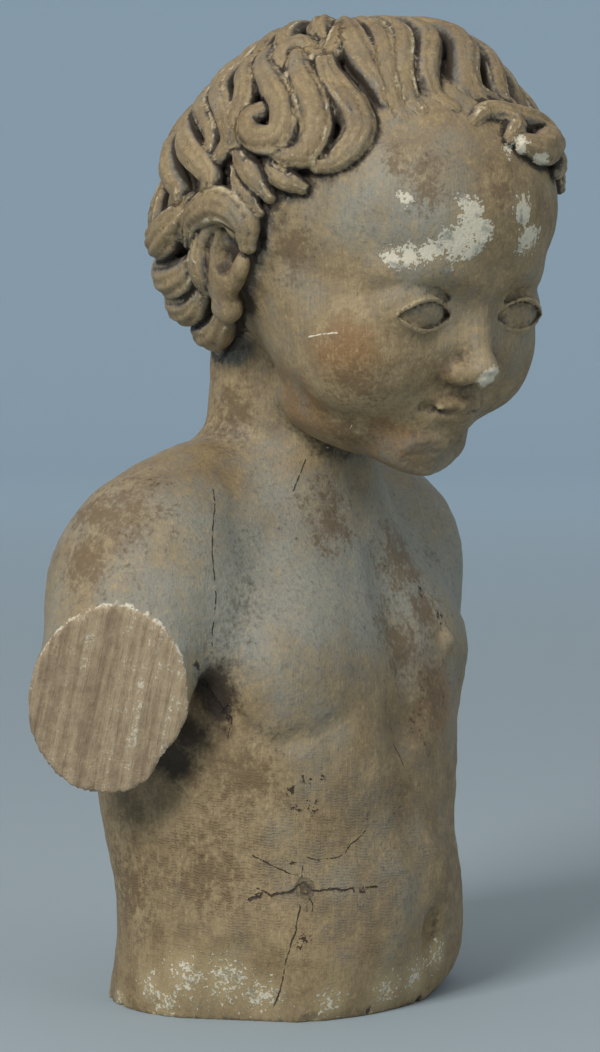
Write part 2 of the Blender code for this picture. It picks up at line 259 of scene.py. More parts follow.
def arc_bar(points, path, radius):
    """Distance to a chain of round bars through the points of a path."""
    distance = np.full(len(points), np.float32(1e3))
    for start, end in zip(path, path[1:]):
        distance = np.minimum(distance, round_bar(points, start, end, radius, radius))
    return distance


def join(one, other, rounding):
    """The lesser of two distances, with the corner between them filled over a width: the lesser
    less h squared over four times the width, where h is how far the width exceeds their gap."""
    overlap = np.maximum(rounding - np.abs(one - other), 0)
    return np.minimum(one, other) - overlap * overlap / (4 * rounding)


def carve(wood, tool, rounding):
    """The wood without the tool's shape, with the edge rounded over a width."""
    return -join(-wood, tool, rounding)


def smooth_table(table, steps):
    """Reads a table at the given steps of its first column, along cubic curves through its
    rows, whose slopes at a row are those of its neighbours."""
    rows = np.array(table, float)
    knots = rows[:, 0]
    slopes = np.gradient(rows[:, 1:], knots, axis=0)
    at = np.clip(np.searchsorted(knots, steps) - 1, 0, len(knots) - 2)
    span = (knots[at + 1] - knots[at])[:, None]
    t = (np.asarray(steps, float) - knots[at])[:, None] / span
    low, high = rows[at, 1:], rows[at + 1, 1:]
    return (
        (2 * t**3 - 3 * t**2 + 1) * low
        + (t**3 - 2 * t**2 + t) * span * slopes[at]
        + (3 * t**2 - 2 * t**3) * high
        + (t**3 - t**2) * span * slopes[at + 1]
    )


class Ripple:
    """A smooth random field from -1 to 1: the mean of sine waves in many directions, whose
    lengths lie round a given wavelength."""

    def __init__(self, seed, wavelength, waves=14, stretch=(1, 1, 1)):
        maker = np.random.default_rng(seed)
        ways = maker.normal(size=(waves, 3))
        ways /= np.linalg.norm(ways, axis=1)[:, None]
        sizes = 2 * math.pi / (wavelength * maker.uniform(0.6, 1.6, waves))
        self.ways = (ways * sizes[:, None] / np.array(stretch)).astype(np.float32)
        self.starts = maker.uniform(0, 2 * math.pi, waves).astype(np.float32)

    def __call__(self, points):
        return np.sin(points @ self.ways.T + self.starts).mean(axis=1) * 2.2


TOOL_RIPPLE = Ripple(3, 15.0)
FINE_RIPPLE = Ripple(4, 6.0)
CHIP_RIPPLE = Ripple(5, 7.0)
BREAK_RIPPLE = Ripple(6, 11.0, stretch=(1, 1, 3))


# Hair


def scalp_ways(angles):
    """Unit ways out from the skull's middle for rows of (turn, fall) in degrees."""
    tilt = math.radians(CROWN_TILT)
    crown = np.array([0, math.sin(tilt), math.cos(tilt)])
    brow = np.array([0, -math.cos(tilt), math.sin(tilt)])
    turn, fall = np.radians(angles[:, 0])[:, None], np.radians(angles[:, 1])[:, None]
    side = brow * np.cos(turn) + np.array([1, 0, 0]) * np.sin(turn)
    return crown * np.cos(fall) + side * np.sin(fall)


def scalp_reach(ways):
    """How far each way out goes before it leaves the last of the skull's ellipsoids."""
    reach = np.zeros(len(ways))
    for middle, radii, turn in (*SKULL_MASSES, HAIR_CAP):
        axes = rotation(turn).astype(float)
        start = (-np.array(middle, float)) @ axes / radii
        ray = ways @ axes / radii
        a, b, c = (ray * ray).sum(1), ray @ start, start @ start - 1
        inside = np.maximum(b * b - a * c, 0)
        reach = np.maximum(reach, np.where(inside > 0, (np.sqrt(inside) - b) / a, 0))
    return reach


class Lock:
    """A lock of hair: a round tube along its path over the scalp, ridged along its length. It
    stands up towards its end, or is a low one, which sinks into the scalp at both ends."""

    SPACING = 1.0
    BREADTH = 1.15
    STRAND = 0.15
    MARGIN = 14

    def __init__(self, thickness, path, number, low):
        knots = np.arange(len(path))
        rows = np.column_stack([knots, np.array(path, float)])
        fine = np.linspace(0, len(path) - 1, 200)
        ways = scalp_ways(smooth_table(rows, fine))
        line = ways * scalp_reach(ways)[:, None]
        gone = np.concatenate([[0], np.cumsum(np.linalg.norm(np.diff(line, axis=0), axis=1))])
        t = np.linspace(0, 1, max(8, int(gone[-1] / self.SPACING)))
        pick = np.interp(t * gone[-1], gone, np.arange(200))
        ways = np.column_stack([np.interp(pick, np.arange(200), ways[:, i]) for i in range(3)])
        ways /= np.linalg.norm(ways, axis=1)[:, None]
        self.radius = thickness * (0.48 + 0.50 * np.sin(math.pi * (0.05 + 0.9 * t) ** 1.15))
        rise = self.radius * (0.45 * np.sin(math.pi * t) if low else 0.25 + 0.5 * t)
        self.points = ways * (scalp_reach(ways) + rise)[:, None]
        ahead = np.gradient(self.points, axis=0)
        self.ahead = ahead / np.linalg.norm(ahead, axis=1)[:, None]
        across = np.cross(self.ahead, ways)
        self.across = across / np.linalg.norm(across, axis=1)[:, None]
        self.up = np.cross(self.across, self.ahead)
        for name in ("points", "radius", "ahead", "across", "up"):
            setattr(self, name, getattr(self, name).astype(np.float32))
        self.low = self.points.min(0) - self.MARGIN
        self.high = self.points.max(0) + self.MARGIN
        self.strands = 2.3 + 0.5 * (number % 3)
        self.start = 0.5 * (number % 4)

    def measure(self, points):
        """Distance to the lock, and how far across it a point is, in radii: the distance to its
        nearest point, less a radius that waves a little with the place across the lock."""
        near = np.einsum("ij,ij->i", points, points)[:, None] - 2 * points @ self.points.T
        near += np.einsum("ij,ij->i", self.points, self.points)
        at = np.argmin(near, axis=1)
        offset = points - self.points[at]
        along = np.clip(np.einsum("ij,ij->i", offset, self.ahead[at]), -self.SPACING, self.SPACING)
        offset = offset - along[:, None] * self.ahead[at]
        radius = self.radius[at]
        side = np.einsum("ij,ij->i", offset, self.across[at])
        height = np.einsum("ij,ij->i", offset, self.up[at])
        past = np.einsum("ij,ij->i", offset, self.ahead[at])
        across = np.clip(side / radius, -1.2, 1.2)
        wave = np.abs(np.cos(0.5 * math.pi * self.strands * across + self.start))
        ridge = 1 + self.STRAND * (wave - 0.7) * np.clip(height / radius + 0.2, 0, 1)
        reach = np.sqrt(height**2 + past**2 + (side / self.BREADTH) ** 2 + 0.01)
        return reach - radius * ridge, across


def hair_locks():
    """Every lock: over the brow, round the crown, at both sides, then the rows at the back."""
    plans = [*BROW_LOCKS, *CROWN_LOCKS, *TUFT_LOCKS, *SIDE_LOCKS]
    for thickness, path in SIDE_LOCKS:
        plans.append((thickness, [(-turn, fall + TWIN_FALL) for turn, fall in path]))
    for count, first, last, fall, thickness, steps in BACK_ROWS:
        for number in range(count):
            turn = first + (last - first) * number / (count - 1)
            way = 1 if number % 2 else -1
            path = [(turn + side * way, fall + drop + 2 * way) for side, drop in steps]
            plans.append((thickness, path))
    low = len(BROW_LOCKS) + len(CROWN_LOCKS)
    return [
        Lock(thickness, path, number, number < low)
        for number, (thickness, path) in enumerate(plans)
    ]


LOCKS = hair_locks()


# Rings of ridges in the close hair: how many, and their fall from the crown in radians
CAP_RIDGES = ((10, 0.35), (14, 0.9), (20, 1.5))


def cap_distance(points):
    """Distance to the close hair under the locks: the cap less ridges that run down from the
    crown, each with a round back, a sharp furrow beside it and finer strands along it."""
    tilt = math.radians(CROWN_TILT)
    out = points / np.maximum(length(points), 1e-3)[:, None]
    rise = out @ np.float32((0, math.sin(tilt), math.cos(tilt)))
    forward = out @ np.float32((0, -math.cos(tilt), math.sin(tilt)))
    turn, fall = np.arctan2(out[:, 0], forward), np.arccos(np.clip(rise, -1, 1))
    sway = turn + 0.22 * np.sin(4.2 * fall + 2 * turn) + 0.08 * np.sin(9 * fall - 3 * turn)
    relief = 0
    for count, middle in CAP_RIDGES:
        share = np.exp(-(((fall - middle) / 0.42) ** 2))
        back = np.abs(np.sin(count * sway))
        relief = relief + share * (2.2 * back**0.7 + 0.20 * np.sin(6 * count * sway))
    return ellipsoid(points, *HAIR_CAP) + 2.0 - relief


def hair_distance(points):
    """Distance to the nearest lock, for points near the scalp; far points keep a large one."""
    distance = cap_distance(points)
    for lock in LOCKS:
        close = np.flatnonzero(((points > lock.low) & (points < lock.high)).all(axis=1))
        if len(close):
            distance[close] = join(distance[close], lock.measure(points[close])[0], 0.9)
    return distance


def strand_place(points):
    """How far across its nearest lock each point is, in radii, counted on from lock to lock."""
    best = np.full(len(points), np.float32(2.5))
    place = np.zeros(len(points), np.float32)
    for number, lock in enumerate(LOCKS):
        close = np.flatnonzero(((points > lock.low) & (points < lock.high)).all(axis=1))
        if not len(close):
            continue
        distance, across = lock.measure(points[close])
        nearer = distance < best[close]
        best[close[nearer]] = distance[nearer]
        place[close[nearer]] = across[nearer] + 3 * number
    return place


# Face, of its own plain design, on child's proportions


SOCKET = ((25, -88, -21), (19, 13, 12))
EYE_MIDDLE = (26.5, -63.5, -23.5)
EYE_SHELL = (18.5, 14.8, 15.0)
EYE_SPAN, EYE_TOP, EYE_BASE = 14.0, 6.2, -4.6


def lid_edge(height):
    """A lid's edge as a path: a parabola of the given height over the span, on the lids' shell."""
    path = []
    for across in np.linspace(-EYE_SPAN, EYE_SPAN, 9):
        rise = height * (1 - (across / EYE_SPAN) ** 2)
        left = 1 - (across / EYE_SHELL[0]) ** 2 - (rise / EYE_SHELL[2]) ** 2
        out = EYE_SHELL[1] * math.sqrt(left)
        path.append((EYE_MIDDLE[0] + across, EYE_MIDDLE[1] - out, EYE_MIDDLE[2] + rise))
    return path


def with_eye(head, points):
    """Sinks the socket, lays the lids over it with a rim to each, opens an almond between two
    parabolas, and sets the ball of the eye in."""
    head = carve(head, ellipsoid(points, *SOCKET), 9)
    across, height = points[:, 0] - EYE_MIDDLE[0], points[:, 2] - EYE_MIDDLE[2]
    span = 1 - (across / EYE_SPAN) ** 2
    opening = np.maximum(height - EYE_TOP * span, EYE_BASE * span - height)
    head = join(head, ellipsoid(points, EYE_MIDDLE, EYE_SHELL), 2.5)
    head = join(head, arc_bar(points, lid_edge(EYE_TOP + 1.2), 1.15), 0.9)
    head = join(head, arc_bar(points, lid_edge(EYE_BASE - 0.9), 0.9), 0.9)
    crease = [(x, y, z + 3.6) for x, y, z in lid_edge(EYE_TOP + 1.2)[1:-1]]
    head = carve(head, arc_bar(points, crease, 0.8), 1.8)
    gap = np.maximum(opening, ellipsoid(points, EYE_MIDDLE, (18.5, 17.5, 16)))
    head = carve(head, gap, 0.7)
    ball = ellipsoid(points, EYE_MIDDLE, (17.6, 13.7, 14.4))
    ring = np.sqrt(across**2 + (height - 0.5) ** 2)
    ball = ball + 0.30 * np.exp(-(((ring - 4.6) / 0.7) ** 2)) + 0.45 * np.exp(-((ring / 1.6) ** 2))
    return join(head, ball, 0.3)


# Where the nose's tip is chipped flat, in the head's frame: a point and the way out
NOSE_CHIP = ((0, -92.0, -44.5), (0.25, -0.88, -0.40))


def with_nose(head, points):
    """Lays on the bridge, the tip and the wings of the nose, bores the nostrils and chips the
    tip."""
    nose = round_bar(points, (0, -74.5, -17), (0, -84, -39), 5.2, 5.6)
    nose = join(nose, ellipsoid(points, (0, -87, -43.5), (7.2, 7.2, 6.6)), 4)
    nose = join(nose, ellipsoid(points, (7.6, -81.5, -45.5), (5.4, 7, 5.2)), 3)
    head = join(head, nose, 4.5)
    head = carve(head, ellipsoid(points, (3.7, -87, -50.2), (2.0, 3.4, 2.4), (20, 0, 15)), 1.2)
    chip = plane_side(points, *NOSE_CHIP) - 0.5 * FINE_RIPPLE(points * 2)
    return carve(head, -chip, 0.5)


def with_mouth(head, points):
    """Lays on the lips, and cuts the groove above them, the line between them and the corners."""
    head = join(head, ellipsoid(points, (0, -66, -61), (19, 13.5, 13)), 8)
    head = carve(head, round_bar(points, (0, -86.5, -51), (0, -83, -57), 1.6, 2.4), 3)
    upper = join(
        ellipsoid(points, (5.6, -76.8, -59.8), (8.4, 4.8, 3.2), (0, 12, 10)),
        ellipsoid(points, (0, -78.4, -60.4), (3.6, 4.4, 3.2)),
        2,
    )
    lower = ellipsoid(points, (3.2, -75.8, -65.2), (7.8, 5.0, 3.4), (0, -8, 8))
    head = join(head, join(upper, lower, 0.8), 1.6)
    line = [(0, -82.2, -62.7), (5, -81.0, -62.5), (9.5, -78.6, -62.2), (13.0, -75.6, -62.0)]
    head = carve(head, arc_bar(points, line, 0.6), 1.0)
    head = carve(head, ellipsoid(points, (15, -75.5, -62), (2.0, 2.6, 2.0)), 3)
    return carve(head, round_bar(points, (0, -82.5, -72.5), (8, -79, -72), 3.4, 2.6), 4)


def with_ear(head, points):
    """Lays on the ear's shell and lobe, stands its rim and its front flap, and hollows it."""
    head = join(head, ellipsoid(points, (67, 1, -22), (6.5, 12, 18)), 3)
    head = join(head, ellipsoid(points, (63, 0, -42), (6, 7, 7.5)), 4)
    rim = [(73, -8, -9), (75, 0, -6), (75, 7, -11), (73, 10.5, -20), (69.5, 9.5, -29), (66, 6, -37)]
    head = join(head, arc_bar(points, rim, 3.0), 1.6)
    head = join(head, arc_bar(points, [(73, 2, -12), (71.5, 5, -20), (68, 3, -29)], 1.8), 2)
    head = carve(head, ellipsoid(points, (76, -3, -19), (9, 5, 10)), 2)
    head = carve(head, ellipsoid(points, (70, -5, -17), (9, 3.4, 6.5), (12, 0, 0)), 1.5)
    return join(head, ellipsoid(points, (69, -10.5, -22), (3, 3.2, 6)), 2)


# The ridge of the brow, and the masses that are joined to the first one, each with the width of
# its joint
BROW_RIDGE = ((7, -76, -9), (24, -73.5, -5), (41, -61, -9))
HEAD_MASSES = tuple((mass, 12) for mass in (*SKULL_MASSES[1:], CHEEK))
HEAD_MASSES += ((UNDER_CHIN, 10), (CHIN, 9))


def bare_head_distance(points):
    """Distance to the head without hair: skull, cheeks and chin run together, then the face and
    the ear, which are made on the side with x above nought and stand for both."""
    half = points.copy()
    half[:, 0] = np.abs(half[:, 0])
    head = ellipsoid(half, *SKULL_MASSES[0])
    for mass, rounding in HEAD_MASSES:
        head = join(head, ellipsoid(half, *mass), rounding)
    head = join(head, arc_bar(half, BROW_RIDGE, 4.5), 9)
    face = np.flatnonzero((half[:, 1] < -45) & (half[:, 2] < 0))
    for step in (with_eye, with_nose, with_mouth):
        head[face] = step(head[face], half[face])
    side = np.flatnonzero((half[:, 0] > 52) & (half[:, 2] < 12) & (half[:, 2] > -55))
    head[side] = with_ear(head[side], half[side])
    return head


# Body


def trunk_distance(points):
    """Distance to the trunk and neck: the level section's rounded-square reach less one, over
    its slope."""
    levels = np.arange(TRUNK_SECTIONS[0][0], TRUNK_SECTIONS[-1][0] + 1.0)
    table = smooth_table(TRUNK_SECTIONS, levels)
    middle, width, depth = (
        np.interp(points[:, 2], levels, table[:, i]).astype(np.float32) for i in range(3)
    )
    power = TRUNK_SQUARENESS
    across, along = np.abs(points[:, 0]) / width, np.abs(points[:, 1] - middle) / depth
    total = np.maximum(across**power + along**power, 1e-6)
    reach = total ** (1 / power)
    slope = np.hypot(across ** (power - 1) / width, along ** (power - 1) / depth)
    slope *= total ** (1 / power - 1)
    return (reach - 1) / np.maximum(slope, 1e-3)


NECK_TOP = 296
NIPPLE = ((36, -56, 149), (5, 5, 5))


def body_distance(points):
    """Distance to trunk, neck, shoulders and arms, all run together, with the hollows cut."""
    half = points.copy()
    half[:, 0] = np.abs(half[:, 0])
    body = trunk_distance(points)
    body = np.maximum(body, points[:, 2] - NECK_TOP)
    for mass in PAIRED_BODY_MASSES:
        body = join(body, ellipsoid(half, *mass), 14)
    belly, right_shoulder, left_shoulder, right_arm, left_arm = SINGLE_BODY_MASSES
    body = join(body, ellipsoid(points, *belly), 16)
    right = join(ellipsoid(points, *right_shoulder), ellipsoid(points, *right_arm), 14)
    left = join(ellipsoid(points, *left_shoulder), ellipsoid(points, *left_arm), 14)
    body = join(join(body, right, 19), left, 19)
    for path, radius, rounding in BODY_FURROWS:
        body = carve(body, arc_bar(points, path, radius), rounding)
    for middle, radii, turn in BODY_HOLLOWS:
        body = carve(body, ellipsoid(points, middle, radii, turn), 5)
    return join(body, ellipsoid(points, *NIPPLE), 3)


def plane_side(points, point, way_out):
    """Distance past a plane through a point, along its way out."""
    way = np.float32(way_out) / np.linalg.norm(way_out)
    return (points - np.float32(point)) @ way.astype(np.float32)


def saw_lines():
    """The way of the saw's lines in the right arm's face, a little off the steepest way down it,
    and the way across them."""
    out = np.array(RIGHT_CUT[1]) / np.linalg.norm(RIGHT_CUT[1])
    level = np.cross(out, (0, 0, 1))
    level /= np.linalg.norm(level)
    down = np.cross(level, out)
    lean = math.radians(SAW_LEAN)
    way = down * math.cos(lean) + level * math.sin(lean)
    return way.astype(np.float32), np.cross(out, way).astype(np.float32)


SAW_WAY, SAW_ACROSS = saw_lines()


def cut_ends(wood, points):
    """Saws the right arm, breaks the left one, wears the front of the foot and saws it flat.

    The right arm's face has saw lines, and its rim is chipped where a ripple is high."""
    sawn = plane_side(points, *RIGHT_CUT)
    lines = points @ SAW_ACROSS
    coarse = np.sin(lines * 1.1 + 2.0 * np.sin(lines * 0.23))
    sawn = sawn + 0.3 + 0.22 * coarse + 0.12 * np.sin(lines * 2.9)
    rim = np.clip(1 + wood / 5, 0, 1)
    sawn = sawn + 1.4 * rim * np.clip(CHIP_RIPPLE(points * 0.6) - 0.1, 0, 1)
    broken = plane_side(points, *LEFT_CUT) + 1.2 * BREAK_RIPPLE(points) + 0.8
    foot_rim = np.clip(1 + wood / 6, 0, 1) * np.clip(1 - points[:, 2] / 14, 0, 1)
    worn = plane_side(points, *WORN_EDGE_CUT)
    wood = carve(wood, -sawn, 0.8)
    wood = carve(wood, -broken, 2.0)
    wood = carve(wood, -worn, 8.0)
    chips = 4 * foot_rim * np.clip(CHIP_RIPPLE(points * 0.8) - 0.2, 0, 1)
    wood = wood + chips
    return np.maximum(wood, -points[:, 2])


def to_head(points):
    """Points of the figure in the head's own frame."""
    return (points - np.float32(HEAD_CENTRE)) @ HEAD_AXES


# The levels from which the head and its hair are looked for, and the depths of the tool marks
HEAD_LEVEL = 215
HAIR_LEVEL = 240
TOOL_DEPTH = 0.28
FINE_DEPTH = 0.12


def bust_distance(points):
    """Distance to the whole bust in parts: head and body joined, worked over, and cut off."""
    wood = body_distance(points)
    near = np.flatnonzero(points[:, 2] > HEAD_LEVEL)
    if len(near):
        place = to_head(points[near])
        wood[near] = join(wood[near], bare_head_distance(place), 7)
        wood[near] = join(wood[near], hair_distance(place), 0.8)
    wood = wood + TOOL_DEPTH * TOOL_RIPPLE(points) + FINE_DEPTH * FINE_RIPPLE(points)
    return cut_ends(wood, points)


def hair_share(points):
    """One where hair lies outermost, nought on skin, with a narrow step between them."""
    share = np.zeros(len(points), np.float32)
    near = np.flatnonzero(points[:, 2] > HAIR_LEVEL)
    if len(near):
        place = to_head(points[near])
        share[near] = np.clip(0.5 + bare_head_distance(place) - hair_distance(place), 0, 1)
    return share


def raw_share(points):
    """One on the two faces where the arms end, nought on the carved skin."""
    share = np.zeros(len(points), np.float32)
    for (point, way_out), far in ((RIGHT_CUT, 60), (LEFT_CUT, 90)):
        reach = np.clip(1 + (plane_side(points, point, way_out) + 0.9) / 0.8, 0, 1)
        share = np.maximum(share, reach * (length(points - np.float32(point)) < far))
    return share


def in_pieces(function, points, size=16384):
    """A function of points worked out in pieces side by side."""
    points = np.ascontiguousarray(points, np.float32)
    if not len(points):
        return np.zeros(0, np.float32)
    pieces = [points[at : at + size] for at in range(0, len(points), size)]
    with ThreadPoolExecutor() as pool:
        return np.concatenate(list(pool.map(function, pieces)))


# Marks that the picture shows, each found where the ray of its pixel meets the skin


def camera_axes():
    """The camera's right, up and back as rows."""
    turn, dip = math.radians(CAMERA_TURN), math.radians(CAMERA_DIP)
    right = np.array([math.cos(turn), math.sin(turn), 0])
    back = np.array([math.sin(turn) * math.cos(dip), -math.cos(turn) * math.cos(dip), math.sin(dip)])
    return np.array([right, np.cross(back, right), back])


CAMERA_AXES = camera_axes()


def camera_place():
    """Where the camera stands: its reach out from the middle, and a step to its side."""
    turn = math.radians(CAMERA_TURN)
    return (
        CAMERA_REACH * math.sin(turn) + CAMERA_SIDE * math.cos(turn),
        -CAMERA_REACH * math.cos(turn) + CAMERA_SIDE * math.sin(turn),
        CAMERA_HEIGHT,
    )


CAMERA_PLACE = camera_place()


# A ray starts this far in front of the bust's middle, in metres, and goes on by this share of its
# distance, this many times
RAY_START = 0.22
RAY_SHARE = 0.6
RAY_STEPS = 100


def on_skin(pixels):
    """Where the rays of the picture's pixels meet the skin: each ray goes on by most of its
    distance to the skin until that is nought."""
    pixels = np.array(pixels, float).reshape(-1, 2)
    across = (pixels[:, 0] - PICTURE_SIZE[0] / 2) / FOCAL_PIXELS
    upward = (PICTURE_SIZE[1] / 2 - pixels[:, 1]) / FOCAL_PIXELS
    rays = np.column_stack([across, upward, -np.ones(len(pixels))]) @ CAMERA_AXES
    rays /= np.linalg.norm(rays, axis=1)[:, None]
    points = np.array(CAMERA_PLACE) / PART + rays * (CAMERA_REACH - RAY_START) / PART
    for _ in range(RAY_STEPS):
        step = np.clip(bust_distance(points.astype(np.float32)), -2, 40)
        points = points + rays * step[:, None] * RAY_SHARE
    return points.astype(np.float32)


# Skin


# Cells along a block's side and along a small block's, and half the diagonal of a unit cube
BLOCK = 8
SUB = 2
HALF_DIAGONAL = 0.87


def sampled_grid(function, low, high, cell):
    """The distance at the corners of a grid of cells. Only corners near the skin are worked out:
    first the blocks that the skin may cross, then the small blocks in those, then their corners.
    The rest hold 1 or -1, outside or inside."""
    blocks = np.ceil((high - low) / (cell * BLOCK)).astype(int)
    middles = np.indices(blocks).reshape(3, -1).T
    distance = in_pieces(function, low + (middles + 0.5) * cell * BLOCK)
    signs = np.where(distance < 0, -1, 1).astype(np.int8).reshape(blocks)
    crossed = middles[np.abs(distance) < HALF_DIAGONAL * cell * BLOCK * 1.5 + 2]

    per_block = BLOCK // SUB
    inner = np.indices((per_block,) * 3).reshape(3, -1).T
    small = (crossed[:, None, :] * per_block + inner).reshape(-1, 3)
    distance = in_pieces(function, low + (small + 0.5) * cell * SUB)
    small_signs = signs.repeat(per_block, 0).repeat(per_block, 1).repeat(per_block, 2)
    small_signs[tuple(small.T)] = np.where(distance < 0, -1, 1)
    close = small[np.abs(distance) < HALF_DIAGONAL * cell * SUB * 1.6 + 0.8]

    grid = small_signs.repeat(SUB, 0).repeat(SUB, 1).repeat(SUB, 2).astype(np.float32)
    grid = np.pad(grid, ((0, 1),) * 3, mode="edge")
    wanted = np.zeros(grid.shape, bool)
    for step in np.indices((SUB + 1,) * 3).reshape(3, -1).T:
        wanted[tuple((close * SUB + step).T)] = True
    corners = np.argwhere(wanted)
    grid[wanted] = in_pieces(function, low + corners * cell)
    return grid


def skin_of(grid, low, cell):
    """Points and four-sided faces of the surface where the grid's distance is nought: one point
    in each crossed cell, at the mean of where the cell's edges cross, and one face round each
    crossed edge of the grid, turned outwards."""
    inside = grid < 0
    steps = np.indices((2, 2, 2)).reshape(3, -1).T
    shape = np.array(grid.shape) - 1
    count = np.zeros(shape, np.int8)
    for step in steps:
        count += inside[tuple(slice(s, s + n) for s, n in zip(step, shape))]
    cells = np.argwhere((count > 0) & (count < 8))
    number = np.full(shape, -1, np.int32)
    number[tuple(cells.T)] = np.arange(len(cells))

    values = np.stack([grid[tuple((cells + step).T)] for step in steps], axis=1)
    total = np.zeros((len(cells), 3))
    hits = np.zeros(len(cells))
    for first in range(8):
        for axis in range(3):
            if steps[first][axis]:
                continue
            second = first + (4, 2, 1)[axis]
            a, b = values[:, first], values[:, second]
            crossed = (a < 0) != (b < 0)
            t = np.where(crossed, a / np.where(crossed, a - b, 1), 0)
            place = np.tile(steps[first].astype(float), (len(cells), 1))
            place[:, axis] = t
            total += place * crossed[:, None]
            hits += crossed
    points = low + (cells + total / hits[:, None]) * cell

    faces = []
    for axis in range(3):
        one, two = (axis + 1) % 3, (axis + 2) % 3
        start = [slice(1, -1)] * 3
        start[axis] = slice(0, -1)
        ahead = list(start)
        ahead[axis] = slice(1, None)
        first, second = inside[tuple(start)], inside[tuple(ahead)]
        edges = np.argwhere(first != second)
        edges[:, one] += 1
        edges[:, two] += 1
        outward = inside[tuple(edges.T)]
        ring = []
        for a, b in ((-1, -1), (0, -1), (0, 0), (-1, 0)):
            corner = edges.copy()
            corner[:, one] += a
            corner[:, two] += b
            ring.append(number[tuple(corner.T)])
        ring = np.stack(ring, axis=1)
        ring[~outward] = ring[~outward][:, ::-1]
        faces.append(ring)
    return points, np.concatenate(faces)


def slope_at(function, points, reach):
    """Unit ways out of the wood: from the differences over a small step along four diagonals."""
    ways = np.float32([(1, -1, -1), (-1, -1, 1), (-1, 1, -1), (1, 1, 1)])
    total = np.zeros((len(points), 3), np.float32)
    for way in ways:
        total += in_pieces(function, points + way * reach)[:, None] * way
    return total / np.maximum(length(total), 1e-9)[:, None]


def settled(function, points, rounds, reach):
    """Points moved onto the skin: each round takes a point along the slope by its distance."""
    for _ in range(rounds):
        slope = slope_at(function, points, reach)
        distance = np.clip(in_pieces(function, points), -1, 1)
        points = points - slope * distance[:, None]
    return points


def mesh_from(name, points, faces):
    """A mesh of a skin, shaded smooth."""
    mesh = bpy.data.meshes.new(name)
    mesh.vertices.add(len(points))
    mesh.vertices.foreach_set("co", np.asarray(points, np.float32).ravel())
    mesh.loops.add(faces.size)
    mesh.loops.foreach_set("vertex_index", faces.astype(np.int32).ravel())
    mesh.polygons.add(len(faces))
    mesh.polygons.foreach_set("loop_start", np.arange(0, faces.size, faces.shape[1], dtype=np.int32))
    mesh.update(calc_edges=True)
    mesh.shade_smooth()
    return mesh


def add_object(name, mesh):
    """A new object at the origin for a mesh."""
    thing = bpy.data.objects.new(name, mesh)
    bpy.context.scene.collection.objects.link(thing)
    return thing


def set_measure(mesh, name, values):
    """Stores one number or one way a point in the mesh."""
    values = np.asarray(values, np.float32)
    kind, field = ("FLOAT", "value") if values.ndim == 1 else ("FLOAT_VECTOR", "vector")
    mesh.attributes.new(name, kind, "POINT").data.foreach_set(field, values.ravel())


# How far out a narrow and a wide hollow are felt, how far in a crest is, and the reach of the
# nose's chip, in parts
NARROW_REACH = 2.5
WIDE_REACH = 9
CREST_REACH = 2.2
CHIP_REACH = 6


def measure_skin(mesh, points):
    """Stores what the finish reads: hollows, crests, hair, raw ends, tones and marks. The hollows
    and the shadow spots darken the skin as soil with painted shade. A number that tells a mark is one
    on it, nought at its reach and less beyond."""
    out = slope_at(bust_distance, points, 0.3)
    close = 1 - in_pieces(bust_distance, points + out * NARROW_REACH) / NARROW_REACH
    wide = 1 - in_pieces(bust_distance, points + out * WIDE_REACH) / WIDE_REACH
    hair = in_pieces(hair_share, points)
    dust, age = tones(points, out)
    place = to_head(points)
    face = (1 - hair) * np.clip(-(place[:, 1] + 40) / 20, 0, 1) * (points[:, 2] > 225)
    eye = np.abs(place) * np.float32((1, -1, -1)) - np.float32(EYE_MIDDLE)
    face = face * (0.25 + 0.60 * np.exp(-(length(eye * np.float32((0.8, 0.3, 1.8))) / 8) ** 2))
    # painted shadow in the armpit, down the underside of the sawn arm and in the ear's hollow
    painted_shadow = np.clip(near_points(points, PAINTED_SHADOW_SPOTS), 0, 1)
    # darker in narrow and wide hollows, where the skin is near along the way out: soil there and
    # painted shade in the recesses, less on the face
    grime_and_shade = ((0.9 - 0.1 * hair) * close + (0.25 + 0.15 * hair) * wide) * (1 - face)
    crest = 1 + in_pieces(bust_distance, points - out * CREST_REACH) / CREST_REACH
    height = points[:, 2]
    measures = {
        "grime_and_shade": grime_and_shade + 0.6 * painted_shadow * painted_shadow * (3 - 2 * painted_shadow),
        "wide": wide,
        "crest": crest * (1 - face),
        "hair": hair,
        "raw": in_pieces(raw_share, points),
        "dust": dust,
        "age": age,
        "strand": in_pieces(strand_place, place) * (hair > 0),
        "belly": np.clip(1.3 - np.abs(height - 66) / 46, 0, 1) * (height < 130),
        "pit": near_points(points, PITS),
        "patch": near_points(points, WHITE_PATCHES),
        "fleck": near_points(points, FLECKS),
        "stain": near_points(points, STAINS),
        "dark": near_points(points, DARK_PATCHES),
        "knot": near_points(points, [KNOT]),
        "chip": 1 - length(place - np.float32(NOSE_CHIP[0])) / CHIP_REACH,
    }
    for name, marks in (("crack", CRACKS), ("scratch", SCRATCHES)):
        measures["to_" + name], measures["by_" + name] = ways_to_paths(points, marks)
    for name, values in measures.items():
        set_measure(mesh, name, values)


def read_points(mesh):
    """The mesh's points as an array."""
    points = np.empty(len(mesh.vertices) * 3, np.float32)
    mesh.vertices.foreach_get("co", points)
    return points.reshape(-1, 3)


def thinned(name, points, faces, share):
    """The skin with fewer faces, where it is flattest first."""
    shape = add_object(name, mesh_from(name, points, faces))
    thin = shape.modifiers.new("thin", "DECIMATE")
    thin.ratio = share
    depsgraph = bpy.context.evaluated_depsgraph_get()
    mesh = bpy.data.meshes.new_from_object(shape.evaluated_get(depsgraph))
    bpy.data.objects.remove(shape)
    return mesh


# Marks on the skin. Each is placed by the picture's pixels and found on the skin, and the skin
# keeps at every point how near the nearest one is. A spot is its pixel, across and down, and its
# reach in parts; a path is its pixels and its half width in parts.

